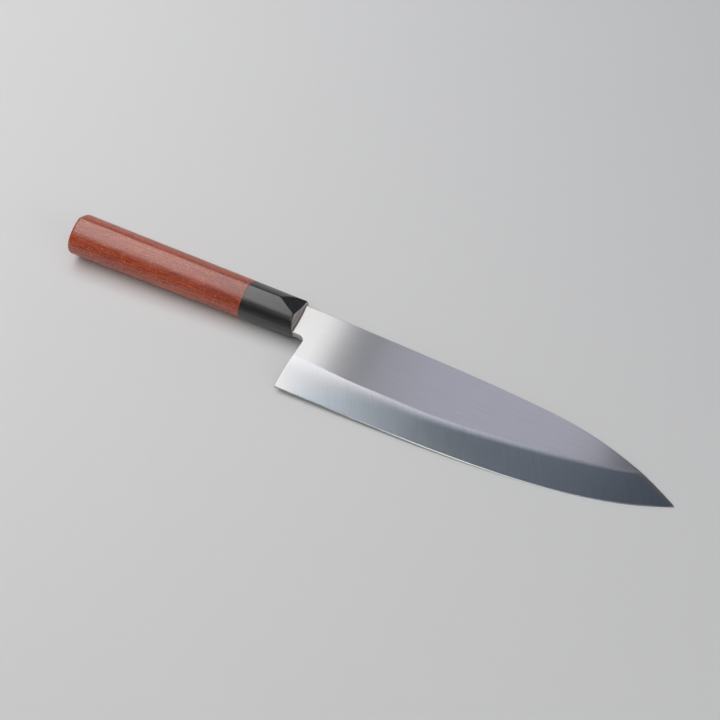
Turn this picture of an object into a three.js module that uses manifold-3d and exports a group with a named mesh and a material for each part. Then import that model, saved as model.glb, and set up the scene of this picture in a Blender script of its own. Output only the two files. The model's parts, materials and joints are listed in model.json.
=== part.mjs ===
// Deba knife: a single-bevel blade whose hidden tang is set in a two-piece wooden handle.
// Millimetres. In the knife's own frame +X runs to the tip, +Y to the spine and +Z out of the
// bevelled side. There x is 0 at the heel, y is 0 on the spine at the neck, z is 0 on the flat back.
import * as THREE from 'three';
import { mergeVertices } from 'three/addons/utils/BufferGeometryUtils.js';
import Module from 'manifold-3d';

const wasm = await Module();
wasm.setup();

// Blade outline, seen from the bevelled side
const bladeLength = 210;
const heelHeight = 49.7;
const heelLean = 1.7;
const tip = new THREE.Vector2(bladeLength, -27.7);
const tipBlunt = 0.4;
const spineStart = new THREE.Vector2(-8, 0);
const spineJoin = new THREE.Vector2(109.6, -3.4);
const spineRearPulls = [new THREE.Vector2(33.5, -0.2), new THREE.Vector2(98.4, -2.5)];
const spineFrontPulls = [new THREE.Vector2(131.6, -5.1), new THREE.Vector2(165.4, -4.4)];
const edgeBend = new THREE.Vector2(58.8, -heelHeight);
const edgePulls = [new THREE.Vector2(152.3, -heelHeight), new THREE.Vector2(183.4, -40.4)];
const bevelBend = new THREE.Vector2(73, -35.1);
const bevelPulls = [new THREE.Vector2(89, -35.1), new THREE.Vector2(165.9, -26.8)];
const bevelEnd = new THREE.Vector2(189.2, -18.2);

// Blade thickness
const neckThickness = 3.8;
const distalTaper = 0.008;
const tipThickness = 0.4;
const edgeThickness = 0.3;
const spineRim = 0.3;

// Hollow ground into the back, inside a flat rim
const hollowDepth = 0.4;
const hollowEdgeRim = 2.5;
const hollowSpineRim = 3.5;
const hollowSlopeShare = 0.25;
const hollowStartX = 6;
const hollowFullX = 24;

// Neck and tang
const neckHeight = 17.9;
const neckFillet = 3.6;
const neckOverlap = 8;
const neckInset = 0.02;
const tangThickness = 3;
const tangHeight = 7;
const tangEndHeight = 5.4;
const tangEndX = -78;

// Handle: a D-shaped section with a ridge on the bevelled side, tapering towards the blade
const buttX = -143;
const jointX = -37.8;
const mouthX = -6.5;
const handleAxisY = -8.2;
const handleAxisZ = neckThickness / 2;
const halfWidth = 12.1;
const underDepth = 9.75;
const ridgeHeight = 10.6;
const ridgeOffset = 3.4;
const handleTaper = 0.11;
const buttDrop = 0.6;
const buttRounding = 2;
const mouthDomeAcross = 0.5;
const mouthDomeThrough = 2.4;
const mouthSkew = 0.5;

// Pulls of the section's curves, as shares of the half width and of the ridge height
const facetPulls = [new THREE.Vector2(1, 0.46), new THREE.Vector2(0.72, 0.69)];
const flankPulls = [new THREE.Vector2(-0.32, 0.98), new THREE.Vector2(-1, 0.64)];

// Flat that cuts the ridge away at the mouth of the ferrule
const ridgeCutLength = 12.4;
const ridgeCutPitch = THREE.MathUtils.degToRad(18);
const ridgeCutRoll = THREE.MathUtils.degToRad(-19);

// Sockets inside the handle, with the clearance that every fit keeps
const clearance = 0.3;
const mouthDepth = 8.3;
const neckEndX = mouthX - mouthDepth + 2 * clearance;
const dowelDiameter = 13.4;
const dowelStartX = mouthX - mouthDepth - clearance;
const dowelEndX = -84;
const resinHeight = 9;
const resinThickness = 5;
const resinStartX = dowelStartX - clearance;
const resinEndX = -80;

// How the knife lies: rolled until the edge touches, with the tip a little down
const restRoll = THREE.MathUtils.degToRad(5.6);
const restPitch = THREE.MathUtils.degToRad(1.2);

// Fineness of the curves, and the size of the blocks that cut
const bladeStep = 5;
const tipStep = 2;
const filletSteps = 6;
const sectionSteps = 10;
const cornerSteps = 4;
const domeSteps = 5;
const roundSteps = 32;
const curveTolerance = 1e-7;
const cutterSize = 100;

// Solids and skins

function toSolid(geometry) {
  const bare = geometry.clone();
  bare.deleteAttribute('normal');
  bare.deleteAttribute('uv');
  const merged = mergeVertices(bare);
  const vertProperties = new Float32Array(merged.getAttribute('position').array);
  const triVerts = new Uint32Array(merged.getIndex().array);
  return new wasm.Manifold(new wasm.Mesh({ numProp: 3, vertProperties, triVerts }));
}

function toGeometry(solid) {
  const { vertProperties, triVerts } = solid.getMesh();
  const geometry = new THREE.BufferGeometry();
  geometry.setAttribute('position', new THREE.BufferAttribute(vertProperties, 3));
  geometry.setIndex(new THREE.BufferAttribute(triVerts, 1));
  geometry.computeVertexNormals();
  return geometry;
}

function flatEnd(ring) {
  const contour = ring.map((point) => new THREE.Vector2(point.y, point.z));
  return THREE.ShapeUtils.triangulateShape(contour, []);
}

// Closed skin over rings of equal length that follow each other along +X, with flat ends
function loft(rings) {
  const count = rings[0].length;
  const index = [];
  for (let ring = 0; ring < rings.length - 1; ring += 1) {
    for (let side = 0; side < count; side += 1) {
      const here = ring * count + side;
      const next = ring * count + ((side + 1) % count);
      index.push(here, next, next + count);
      index.push(here, next + count, here + count);
    }
  }
  const lastRing = (rings.length - 1) * count;
  for (const [a, b, c] of flatEnd(rings[0])) {
    index.push(c, b, a);
  }
  for (const [a, b, c] of flatEnd(rings.at(-1))) {
    index.push(lastRing + a, lastRing + b, lastRing + c);
  }
  const geometry = new THREE.BufferGeometry();
  geometry.setFromPoints(rings.flat());
  geometry.setIndex(index);
  return geometry;
}

function boxSolid(low, high) {
  const box = new THREE.Box3(low, high);
  const size = box.getSize(new THREE.Vector3());
  const centre = box.getCenter(new THREE.Vector3());
  const geometry = new THREE.BoxGeometry(size.x, size.y, size.z);
  return toSolid(geometry.translate(centre.x, centre.y, centre.z));
}

// Round bar along X on the handle's axis
function roundBar(diameter, startX, endX) {
  const radius = diameter / 2;
  const geometry = new THREE.CylinderGeometry(radius, radius, endX - startX, roundSteps);
  geometry.rotateZ(Math.PI / 2);
  return toSolid(geometry.translate((startX + endX) / 2, handleAxisY, handleAxisZ));
}

// Square bar along X on the handle's axis
function squareBar(height, thickness, startX, endX) {
  const low = new THREE.Vector3(startX, handleAxisY - height / 2, handleAxisZ - thickness / 2);
  const high = new THREE.Vector3(endX, handleAxisY + height / 2, handleAxisZ + thickness / 2);
  return boxSolid(low, high);
}

// Blade

const spineCurves = [
  new THREE.CubicBezierCurve(spineStart, ...spineRearPulls, spineJoin),
  new THREE.CubicBezierCurve(spineJoin, ...spineFrontPulls, tip),
];
const edgeCurves = [new THREE.CubicBezierCurve(edgeBend, ...edgePulls, tip)];
const bevelCurves = [new THREE.CubicBezierCurve(bevelBend, ...bevelPulls, bevelEnd)];

// Height of a run of curves at a place along the blade; before its start the run is level
function heightAt(curves, x) {
  if (x <= curves[0].v0.x) {
    return curves[0].v0.y;
  }
  const curve = curves.find((stretch) => x <= stretch.v3.x) ?? curves.at(-1);
  let low = 0;
  let high = 1;
  while (high - low > curveTolerance) {
    const middle = (low + high) / 2;
    if (curve.getPoint(middle).x < x) {
      low = middle;
    } else {
      high = middle;
    }
  }
  return curve.getPoint(low).y;
}

// Height of the flat above the back; past the bevel line's end it thins out to the tip
function flatHeight(x) {
  if (x > bevelEnd.x) {
    const endHeight = neckThickness - distalTaper * bevelEnd.x;
    return THREE.MathUtils.mapLinear(x, bevelEnd.x, bladeLength, endHeight, tipThickness);
  }
  return neckThickness - distalTaper * x;
}

// One section of the blade: flat, bevel, edge, then the back with its hollow, up to the spine
function bladeSection(x) {
  const spine = heightAt(spineCurves, x);
  const edge = heightAt(edgeCurves, x);
  const bevel = x < bevelEnd.x ? heightAt(bevelCurves, x) : spine;
  const top = flatHeight(x);
  const narrowing = Math.min(1, (spine - edge) / heelHeight);
  const low = edge + hollowEdgeRim * narrowing;
  const high = spine - hollowSpineRim * narrowing;
  const depth = hollowDepth * narrowing * THREE.MathUtils.smoothstep(x, hollowStartX, hollowFullX);
  const outline = [
    [spine, top],
    [Math.min(bevel, spine - spineRim * narrowing), top],
    [edge, edgeThickness],
    [edge, 0],
    [low, 0],
    [THREE.MathUtils.lerp(low, high, hollowSlopeShare), depth],
    [THREE.MathUtils.lerp(high, low, hollowSlopeShare), depth],
    [high, 0],
    [spine, 0],
  ];
  return outline.map(([y, z]) => new THREE.Vector3(x, y, z));
}

function bladePlate() {
  const places = [];
  for (let x = -bladeStep; x < bevelEnd.x - tipStep; x += bladeStep) {
    places.push(x);
  }
  for (let x = bevelEnd.x; x < bladeLength - tipStep; x += tipStep) {
    places.push(x);
  }
  places.push(bladeLength - tipBlunt);
  return toSolid(loft(places.map(bladeSection)));
}

// Everything behind the leaning line of the heel
function heelCut() {
  const lean = Math.atan2(heelLean, heelHeight - neckHeight);
  const geometry = new THREE.BoxGeometry(cutterSize, 2 * cutterSize, cutterSize);
  geometry.translate(-cutterSize / 2, 0, 0);
  geometry.rotateZ(-lean);
  geometry.translate(0, -heelHeight, 0);
  return toSolid(geometry);
}

// Neck from inside the ferrule to the blade, filleted into the heel
function neckPlate() {
  const low = -neckHeight;
  const shape = new THREE.Shape();
  shape.moveTo(neckEndX, -neckInset);
  shape.lineTo(0, heightAt(spineCurves, 0) - neckInset);
  shape.lineTo(neckOverlap, heightAt(spineCurves, neckOverlap) - neckInset);
  shape.lineTo(neckOverlap, low - neckFillet);
  shape.lineTo(heelLean, low - neckFillet);
  shape.absarc(heelLean - neckFillet, low - neckFillet, neckFillet, 0, Math.PI / 2, false);
  shape.lineTo(neckEndX, low);
  const settings = { depth: 1, bevelEnabled: false, curveSegments: filletSteps };
  const geometry = new THREE.ExtrudeGeometry(shape, settings);
  const position = geometry.getAttribute('position');
  for (let i = 0; i < position.count; i += 1) {
    const isTop = position.getZ(i) > 0;
    position.setZ(i, isTop ? flatHeight(position.getX(i)) - neckInset : neckInset);
  }
  return toSolid(geometry);
}

// Ring of the tang at a place along it
function tangRing(x, height) {
  const corners = [
    [height, tangThickness],
    [-height, tangThickness],
    [-height, -tangThickness],
    [height, -tangThickness],
  ];
  return corners.map(([y, z]) => new THREE.Vector3(x, handleAxisY + y / 2, handleAxisZ + z / 2));
}

// Tang, narrowing towards its end inside the dowel
function tangBar() {
  const insideNeckX = mouthX - mouthDepth / 2;
  return toSolid(loft([tangRing(tangEndX, tangEndHeight), tangRing(insideNeckX, tangHeight)]));
}

function bladeGeometry() {
  const plate = bladePlate().subtract(heelCut());
  return toGeometry(plate.add(neckPlate()).add(tangBar()));
}

// Handle

// Outline of the handle at the butt: facet on the spine side, ridge, broad flank, round underside
function handleOutline() {
  const size = new THREE.Vector2(halfWidth, ridgeHeight);
  const [facetLow, facetHigh] = facetPulls.map((pull) => pull.clone().multiply(size));
  const [flankHigh, flankLow] = flankPulls.map((pull) => pull.clone().multiply(size));
  const path = new THREE.Path();
  path.moveTo(halfWidth, 0);
  path.bezierCurveTo(facetLow.x, facetLow.y, facetHigh.x, facetHigh.y, ridgeOffset, ridgeHeight);
  path.bezierCurveTo(flankHigh.x, flankHigh.y, flankLow.x, flankLow.y, -halfWidth, 0);
  path.absellipse(0, 0, halfWidth, underDepth, Math.PI, 2 * Math.PI, false);
  return path.getPoints(sectionSteps).slice(0, -1);
}

const outlineAtButt = handleOutline();

// Middle and size of the handle at a place along it
function handleAt(x) {
  const along = THREE.MathUtils.inverseLerp(buttX, mouthX, x);
  return { middleY: handleAxisY - buttDrop * (1 - along), scale: 1 - handleTaper * along };
}

// Ring of the handle's surface at a place along it, drawn in towards the middle by a factor
function handleRing(x, factor) {
  const { middleY, scale } = handleAt(x);
  const size = scale * factor;
  return outlineAtButt.map(
    (point) => new THREE.Vector3(x, middleY + point.x * size, handleAxisZ + point.y * size),
  );
}

// Ring of the mouth, which is domed, more through its thickness than across, and a little askew
function mouthRing(factor) {
  const ring = handleRing(mouthX, factor);
  outlineAtButt.forEach((point, i) => {
    const across = (point.x / halfWidth) * factor;
    const through = (point.y / ridgeHeight) * factor;
    const dome = mouthDomeAcross * across ** 2 + mouthDomeThrough * through ** 2;
    ring[i].x -= dome + mouthSkew * across;
  });
  return ring;
}

function gripGeometry() {
  const rings = [];
  for (let step = 0; step <= cornerSteps; step += 1) {
    const angle = (step / cornerSteps) * (Math.PI / 2);
    const x = buttX + buttRounding * (1 - Math.cos(angle));
    const inset = buttRounding * (1 - Math.sin(angle));
    rings.push(handleRing(x, 1 - inset / halfWidth));
  }
  rings.push(handleRing(jointX - clearance, 1));
  const bore = roundBar(dowelDiameter + 2 * clearance, dowelEndX - clearance, jointX + clearance);
  return toGeometry(toSolid(loft(rings)).subtract(bore));
}

// Block above the flat that slopes down from the ridge to the ferrule's mouth
function ridgeCut() {
  const startX = mouthX - ridgeCutLength;
  const { middleY, scale } = handleAt(startX);
  const geometry = new THREE.BoxGeometry(cutterSize, cutterSize, cutterSize);
  geometry.translate(0, 0, cutterSize / 2);
  geometry.rotateX(ridgeCutRoll);
  geometry.rotateY(ridgeCutPitch);
  geometry.translate(startX, middleY + ridgeOffset * scale, handleAxisZ + ridgeHeight * scale);
  return toSolid(geometry);
}

function ferruleGeometry() {
  const rings = [handleRing(jointX, 1)];
  for (let step = domeSteps; step > 0; step -= 1) {
    rings.push(mouthRing(step / domeSteps));
  }
  const bore = roundBar(dowelDiameter + 2 * clearance, jointX - clearance, mouthX - mouthDepth);
  const neckRoom = boxSolid(
    new THREE.Vector3(dowelStartX, -neckHeight - clearance, -clearance),
    new THREE.Vector3(mouthX + neckOverlap, clearance, flatHeight(neckEndX) + clearance),
  );
  return toGeometry(toSolid(loft(rings)).subtract(ridgeCut()).subtract(bore).subtract(neckRoom));
}

function dowelGeometry() {
  const slotHeight = resinHeight + 2 * clearance;
  const slotThickness = resinThickness + 2 * clearance;
  const slot = squareBar(slotHeight, slotThickness, dowelEndX - clearance, dowelStartX + clearance);
  return toGeometry(roundBar(dowelDiameter, dowelEndX, dowelStartX).subtract(slot));
}

function resinGeometry() {
  const roomHeight = tangHeight + 2 * clearance;
  const roomThickness = tangThickness + 2 * clearance;
  const room = squareBar(roomHeight, roomThickness, resinEndX - clearance, resinStartX + clearance);
  return toGeometry(squareBar(resinHeight, resinThickness, resinEndX, resinStartX).subtract(room));
}

// Assembly

function piece(name, geometry, color, roughness, metalness) {
  const material = new THREE.MeshStandardMaterial({ color, roughness, metalness });
  const mesh = new THREE.Mesh(geometry, material);
  mesh.name = name;
  return mesh;
}

const knife = new THREE.Group();
knife.add(piece('blade', bladeGeometry(), 0xc9c9cc, 0.3, 1));
knife.add(piece('ferrule', ferruleGeometry(), 0x141416, 0.25, 0));
knife.add(piece('grip', gripGeometry(), 0x8a3220, 0.4, 0));
knife.add(piece('tang_dowel', dowelGeometry(), 0xc8a878, 0.7, 0));
knife.add(piece('tang_resin', resinGeometry(), 0xb89a5a, 0.4, 0));
knife.rotation.set(restRoll, restPitch, 0, 'YXZ');

// The lying knife's origin is under the middle of its box
const lying = new THREE.Group();
lying.add(knife);
const box = new THREE.Box3().setFromObject(lying, true);
const middle = box.getCenter(new THREE.Vector3());
knife.position.set(-middle.x, -middle.y, -box.min.z);

export default lying;
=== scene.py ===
"""Looks of a deba knife that lies bevelled side up on a pale floor.

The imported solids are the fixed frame. The blade, the ferrule and the grip get finer meshes in the same
places, and the dowel and the resin inside the handle keep their solids. Meshes are laid out in metres in
the knife's own frame, and are then set down in the shared frame. In the knife's frame +X runs to the tip,
+Y to the spine and +Z out of the bevelled side: x is 0 at the heel, y is 0 on the spine at the neck, and
z is 0 on the flat back.
"""
import functools
import json
import math

import bpy
from bpy.props import FloatProperty, FloatVectorProperty, PointerProperty
from mathutils import Matrix, Vector


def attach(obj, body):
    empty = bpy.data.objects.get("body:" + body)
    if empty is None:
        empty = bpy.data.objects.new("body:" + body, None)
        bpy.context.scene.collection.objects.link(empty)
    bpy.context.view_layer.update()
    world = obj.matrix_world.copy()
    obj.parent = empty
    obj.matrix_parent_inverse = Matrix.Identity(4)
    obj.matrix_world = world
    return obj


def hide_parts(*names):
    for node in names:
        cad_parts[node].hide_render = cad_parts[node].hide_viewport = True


bl_info = {
    "name": "Deba Knife",
    "version": (1, 0, 0),
    "blender": (4, 5, 0),
    "location": "View3D > Sidebar > Deba",
    "description": "Makes a single-bevel deba knife with a ridged wooden handle",
    "category": "Add Mesh",
}

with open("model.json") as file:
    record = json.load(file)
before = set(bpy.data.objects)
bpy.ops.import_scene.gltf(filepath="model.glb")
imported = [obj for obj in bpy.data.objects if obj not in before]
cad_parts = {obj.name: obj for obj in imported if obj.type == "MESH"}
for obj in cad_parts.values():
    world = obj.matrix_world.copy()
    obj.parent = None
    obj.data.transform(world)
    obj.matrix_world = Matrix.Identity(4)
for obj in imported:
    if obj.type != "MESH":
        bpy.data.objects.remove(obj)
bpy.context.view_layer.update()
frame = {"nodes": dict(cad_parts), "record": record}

# How the knife lies: rolled until the edge touches, with the tip a little down
REST_ROLL = math.radians(5.6)
REST_PITCH = math.radians(1.2)

# Place on the flat that the record's mount gives in the shared frame
RACK_POINT = (0.06, -0.018)

# Outline of the blade, as cubic curves: start, two pulls and end
SPINE_REAR = ((-0.008, 0.0), (0.0335, -0.0002), (0.0984, -0.0025), (0.1096, -0.0034))
SPINE_FRONT = ((0.1096, -0.0034), (0.1316, -0.0051), (0.1654, -0.0044), (0.21, -0.0277))
EDGE_BELLY = ((0.0588, -0.0497), (0.1523, -0.0497), (0.1834, -0.0404), (0.21, -0.0277))
BEVEL_LINE = ((0.073, -0.0351), (0.089, -0.0351), (0.1659, -0.0268), (0.1892, -0.0182))
TIP_BLUNT = 0.0004

# Length over which the bevel line softens towards the heel
HEEL_FADE = 0.04

# Hollow in the back, inside a flat rim
HOLLOW_EDGE_RIM = 0.0025
HOLLOW_SPINE_RIM = 0.0035
HOLLOW_SLOPE_SHARE = 0.25
HOLLOW_START = 0.006
HOLLOW_FULL = 0.024

# Tang inside the handle
TANG_END = -0.078
TANG_HEIGHT = 0.007
TANG_END_HEIGHT = 0.0054
TANG_THICKNESS = 0.003
NECK_END = -0.0142

# Pulls of the handle's section, as shares of the half width and of the ridge height
FACET_PULLS = ((1.0, 0.46), (0.72, 0.69))
FLANK_PULLS = ((-0.32, 0.98), (-1.0, 0.64))

# Flat that cuts the ridge away at the ferrule's mouth
RIDGE_CUT_LENGTH = 0.0124
RIDGE_CUT_PITCH = math.radians(18)
RIDGE_CUT_ROLL = math.radians(-19)

# Dome of the ferrule's mouth: across, through its thickness, and askew
MOUTH_DOME_ACROSS = 0.0005
MOUTH_DOME_THROUGH = 0.0024
MOUTH_SKEW = 0.0005

# Socket inside the handle, and the neck's slot in front of it
SOCKET_RADIUS = 0.007
SOCKET_END = -0.0843
SLOT_END = -0.0148
SLOT_GAP = 0.00005

# Fineness of the meshes
CURVE_HALVINGS = 36
HEEL_COLUMNS = (0.0, 0.00005, 0.00014, 0.0003, 0.00042, 0.001, 0.002, 0.0035, 0.0055, 0.008)
COLUMN_STEP = 0.002
TIP_COLUMN_STEP = 0.001
HEEL_BLEND = HEEL_COLUMNS[-1] + 2 * COLUMN_STEP
NECK_COLUMNS = 7
FERRULE_RINGS = 44
FERRULE_RIM_RINGS = 6
MOUTH_RINGS = 6
BUTT_RINGS = 10
GRIP_RINGS = 40
BORE_SIDES = 64
BLADE_SHARP_ANGLE = math.radians(14)
HANDLE_SHARP_ANGLE = math.radians(24)
TINY = 1e-9

# Values between which most of a noise lies
NOISE_SPREAD = (0.3, 0.7)

# Brushed steel: repeats in each metre along and across its streaks, places of its tints, and gloss
BRUSHING_MAP = "brushing"
BELOW_LINE = "below_line"
BEVEL_SCRATCH_ANGLE = math.radians(-59)
FINE_STREAKS = (60, 5200, 1)
BROAD_STREAKS = (45, 1900, 1)
FINE_SHARE = 0.45
STREAK_SPREAD = (0.32, 0.68)
NECK_TINT = (-0.012, 0.008)
# Inside this bow the bevel keeps the flat's lighter colour, painted light where it catches the same lamp as
# the flat
HEEL_BOW = 0.0004
HEEL_STREAKS = (0.0, 0.03)
HEEL_CONTRAST = 0.03
STEEL_ROUGHNESS = (0.276, 0.286)
BRUSH_STRENGTH = 0.12
BRUSH_DEPTH = 0.00001
ACROSS_BRUSHING = 0.25
OIL_ROUGHNESS = 0.08
OIL_IOR = 1.74

# Wood: repeats in each metre along and across its fibres, the tones that they give, and gloss
FIGURE_SCALE = (16, 260, 260)
FIBRE_SCALE = (70, 1500, 1500)
PORE_SCALE = (820, 2300, 2300)
PORE_EDGE = (0.61, 0.67)
FIGURE_SPREAD = (0.36, 0.62)
DARK_FIBRES = (0.34, 0.56)
DARK_FIBRE_SHARE = 0.5
FLECK_SHARE = 0.85
FIBRE_RISE = 0.4
WOOD_STRENGTH = 0.25
WOOD_DEPTH = 0.00005
WOOD_ROUGHNESS = (0.25, 0.34)
POLISHED_SPECULAR = 1.0
DOWEL_DARK = 0.7
DOWEL_ROUGHNESS = (0.6, 0.75)

# Ferrule: brown fibres in its polished side, and the layers of its matte mouth
BROWN_FIBRES = (0.45, 0.75)
BROWN_GAIN = 2.2
SIDE_ROUGHNESS = (0.20, 0.28)
SIDE_STRENGTH = 0.06
SIDE_DEPTH = 0.00003
LAYER_SCALE = (12, 25, 620)
LAYER_SPREAD = (0.38, 0.62)
RED_LAYER_HEIGHT = 0.0072
RED_LAYER_HALF = 0.00022
RED_LAYER_SHARE = 0.45
MOUTH_ROUGHNESS = (0.55, 0.7)
MOUTH_STRENGTH = 0.2
MOUTH_DEPTH = 0.00005

# Resin
CLOUD_SCALE = (90, 300, 300)
CLOUD_DARK = 0.6
RESIN_ROUGHNESS = (0.25, 0.4)

# Floor, and the distances from the knife over which a faint glow comes in
FLOOR_HALF = 60.0
FLOOR_MOTTLE_SCALE = (9, 9, 9)
FLOOR_MOTTLE_DARK = 0.985
FLOOR_ROUGHNESS = 0.75
FLOOR_SPECULAR = 0.2
FAR_FLOOR = (0.4, 1.7)
FAR_FLOOR_LIGHT = 0.46

# World: its tints, and the band of heights between them
WORLD_TINT = (0.66, 0.82, 1.0)
HORIZON_TINT = (1.0, 0.98, 0.96)
HORIZON_BAND = (0.20, 0.60)

# Camera
SENSOR_WIDTH = 36.0

# Lamps: name, centre, aim, width, depth, radiance, tint, and whether reflections show it
SOFT_BOXES = (
    ("left_box", (-0.594, 0.105, 0.80), (-0.594, 0.105, 0.0), 0.652, 0.89, 2.6, (1.0, 0.99, 0.97), True),
    ("back_box", (-0.106, 0.46, 0.80), (-0.106, 0.46, 0.0), 0.242, 0.60, 0.98, (0.85, 0.84, 1.0), True),
    ("front_strip", (-0.04, -0.52, 0.80), (-0.04, -0.52, 0.0), 0.42, 0.16, 4.0, (1.0, 0.93, 0.82), True),
    ("right_fill", (0.75, -0.25, 0.45), (0.0, 0.0, 0.0), 0.60, 0.50, 1.2, (1.0, 1.0, 1.0), True),
    ("front_fill", (0.20, -0.36, 0.80), (0.20, -0.36, 0.0), 0.40, 0.44, 0.30, (1.0, 1.0, 1.0), True),
    ("top_fill", (0.0, 0.0, 2.50), (0.0, 0.0, 0.0), 4.00, 4.00, 0.42, (1.0, 0.99, 0.98), False),
)


# Settings

def length_setting(name, description, default):
    """Setting for a length."""
    return FloatProperty(name=name, description=description, default=default, unit="LENGTH")


def place_setting(name, description, default):
    """Setting for a place in a plane."""
    return FloatVectorProperty(name=name, description=description, default=default, size=2, unit="LENGTH")


def share_setting(name, description, default):
    """Setting for a share of something."""
    return FloatProperty(name=name, description=description, default=default, subtype="FACTOR")


def angle_setting(name, description, degrees):
    """Setting for an angle, with its default in degrees."""
    return FloatProperty(name=name, description=description, default=math.radians(degrees), subtype="ANGLE")


def colour_setting(name, description, default):
    """Setting for a colour."""
    return FloatVectorProperty(name=name, description=description, default=default, subtype="COLOR")


class BladeSizes(bpy.types.PropertyGroup):
    """Sizes of the blade."""

    length: length_setting("Length", "From the heel to the tip", 0.21)
    heel_height: length_setting("Heel Height", "From the spine to the edge at the heel", 0.0497)
    heel_lean: length_setting("Heel Lean", "How far the heel leans forward up to the neck", 0.0017)
    neck_height: length_setting("Neck Height", "Height of the neck behind the heel", 0.0179)
    neck_fillet: length_setting("Neck Fillet", "Radius between the neck and the heel", 0.0036)
    thickness: length_setting("Thickness", "Thickness of the steel at the heel", 0.0038)
    distal_taper: share_setting("Distal Taper", "Thinning as a share of the way along the blade", 0.008)
    bevel_foot: length_setting("Bevel Foot", "Thickness that the bevel runs down to", 0.0002)
    land: length_setting("Edge Land", "Width of the small bevel along the edge", 0.0005)
    edge_thickness: length_setting("Edge Thickness", "Thickness of the finished edge", 0.00004)
    soft_heel: length_setting("Heel Softness", "Half width of the rounded bevel line at the heel", 0.006)
    soft_middle: length_setting("Softness", "Half width of the rounded bevel line past the heel", 0.004)
    soft_tip: length_setting("Tip Softness", "Half width of the rounded bevel line at the tip", 0.0014)
    rim: length_setting("Rim", "Radius of the eased spine, heel and neck", 0.0002)
    hollow_depth: length_setting("Hollow Depth", "Depth of the hollow in the back", 0.0004)


class HandleSizes(bpy.types.PropertyGroup):
    """Sizes of the ferrule and the grip."""

    butt: length_setting("Butt", "Place of the butt along the knife", -0.143)
    joint: length_setting("Joint", "Place of the joint between grip and ferrule", -0.0378)
    mouth: length_setting("Mouth", "Place of the ferrule's mouth", -0.0065)
    axis: place_setting("Axis", "Middle of the section, towards the spine and up", (-0.0082, 0.0019))
    half_width: length_setting("Half Width", "Half the width at the butt", 0.01206)
    under_depth: length_setting("Under Depth", "Depth of the round underside", 0.00975)
    ridge_height: length_setting("Ridge Height", "Height of the ridge above the axis", 0.0106)
    ridge_offset: length_setting("Ridge Offset", "Shift of the ridge towards the spine", 0.0034)
    taper: share_setting("Taper", "Share of the section lost from butt to mouth", 0.11)
    butt_drop: length_setting("Butt Drop", "How far the axis drops towards the butt", 0.0006)
    butt_rounding: length_setting("Butt Rounding", "Radius of the butt's rim", 0.002)
    ridge_rounding: share_setting("Ridge Rounding", "Share of each flank that eases the ridge", 0.03)
    rim: length_setting("Mouth Rim", "Radius of the ferrule's front rim", 0.0004)
    seam: length_setting("Seam", "Chamfer on each side of the joint", 0.00012)


class Finishes(bpy.types.PropertyGroup):
    """Colours of the surfaces."""

    flat_steel: colour_setting("Flat Steel", "Steel of the flat and the back", (0.565, 0.562, 0.577))
    neck_steel: colour_setting("Neck Steel", "Steel of the neck, by the ferrule", (0.38, 0.372, 0.362))
    # The bevel's darker, bluer colour is partly its ground finish and partly a painted reflection of the
    # dim bluish surroundings
    bevel_steel_and_painted_reflection: colour_setting("Bevel Steel", "Steel of the bevel", (0.42, 0.468, 0.52))
    ferrule_black: colour_setting("Ferrule Black", "Polished side of the ferrule", (0.012, 0.012, 0.013))
    laminate_light: colour_setting("Laminate Light", "Light layers of the mouth", (0.60, 0.54, 0.53))
    laminate_dark: colour_setting("Laminate Dark", "Dark layers of the mouth", (0.34, 0.30, 0.295))
    laminate_red: colour_setting("Laminate Red", "Reddish layer of the mouth", (0.34, 0.13, 0.11))
    wood_dark: colour_setting("Wood Dark", "Dark streaks of the grip", (0.11, 0.008, 0.002))
    wood_red: colour_setting("Wood Red", "Body colour of the grip", (0.32, 0.028, 0.006))
    wood_light: colour_setting("Wood Light", "Light streaks of the grip", (0.47, 0.060, 0.014))
    wood_fleck: colour_setting("Wood Fleck", "Golden pores of the grip", (0.64, 0.29, 0.12))
    dowel_wood: colour_setting("Dowel Wood", "Pale wood of the dowel", (0.58, 0.39, 0.19))
    resin: colour_setting("Resin", "Cured resin around the tang", (0.48, 0.33, 0.1))
    floor: colour_setting("Floor", "Pale floor", (0.78, 0.782, 0.785))


class StageSizes(bpy.types.PropertyGroup):
    """Camera and light."""

    azimuth: angle_setting("Azimuth", "Camera's turn round the knife", 29.755)
    elevation: angle_setting("Elevation", "Camera's height above the horizon", 50.582)
    roll: angle_setting("Roll", "Camera's turn about its own axis", -2.890)
    distance: length_setting("Distance", "From the camera to the floor along its axis", 1.034)
    aim: place_setting("Aim", "Point of the floor in the middle of the picture", (-0.00304, 0.01076))
    lens: FloatProperty(name="Lens", description="Focal length", default=100.0, unit="CAMERA")
    world_light: share_setting("World Light", "Strength of the even light from above", 0.068)
    horizon_light: share_setting("Horizon Light", "Strength of the even light near the horizon", 0.3)


# Curves

def lerp(start, end, share):
    """Value between two others."""
    return start + (end - start) * share


def spread(start, end, steps):
    """Values from start to end in even steps."""
    return [lerp(start, end, step / steps) for step in range(steps + 1)]


def smooth(share):
    """Smooth step from 0 to 1."""
    share = min(1.0, max(0.0, share))
    return share * share * (3 - 2 * share)


def bend(start, pull, end, t):
    """Point of a quadratic curve."""
    return start * (1 - t) ** 2 + pull * (2 * t * (1 - t)) + end * t ** 2


def cubic_point(curve, t):
    """Point of a cubic curve."""
    start, pull_out, pull_in, end = (Vector(point) for point in curve)
    s = 1 - t
    return start * s ** 3 + pull_out * (3 * s * s * t) + pull_in * (3 * s * t * t) + end * t ** 3


@functools.lru_cache(maxsize=None)
def height_on(curves, x):
    """Height of a run of curves at a place along the blade; before its start the run is level."""
    if x <= curves[0][0][0]:
        return curves[0][0][1]
    curve = next((stretch for stretch in curves if x <= stretch[3][0]), curves[-1])
    low = 0.0
    high = 1.0
    for _ in range(CURVE_HALVINGS):
        middle = (low + high) / 2
        if cubic_point(curve, middle).x < x:
            low = middle
        else:
            high = middle
    return cubic_point(curve, low).y


# Shape of the blade

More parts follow.
